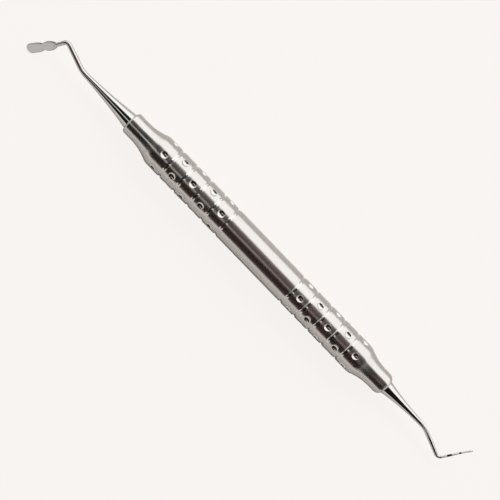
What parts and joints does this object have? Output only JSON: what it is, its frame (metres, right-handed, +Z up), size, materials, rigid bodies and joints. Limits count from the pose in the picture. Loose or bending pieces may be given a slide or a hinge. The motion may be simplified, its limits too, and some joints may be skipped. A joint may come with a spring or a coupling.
{
  "type": "dental plugger",
  "caption": "Double-ended dental hand instrument: hollow round handle with grooves and dimples, an angled shank with a flat two-lobed paddle, and an angled shank with a thin banded tip.",
  "frame": {"origin": "on the handle's axis, half way along the handle", "axes": "+X along the handle from the paddle to the thin tip, +Z up from the table it lies on; the bends lie in a plane through the X axis, tilted about 34 degrees from the XY plane"},
  "size_m": [0.169, 0.0123, 0.01],
  "materials": {
    "satin_steel": "stainless steel, turned and fine satin",
    "polished_steel": "stainless steel, ground and mirror-polished, with two black bands on the thin tip"
  },
  "bodies": {
    "root": {"handle": "satin_steel", "paddle_end": "polished_steel", "probe_end": "polished_steel"}
  },
  "joints": []
}
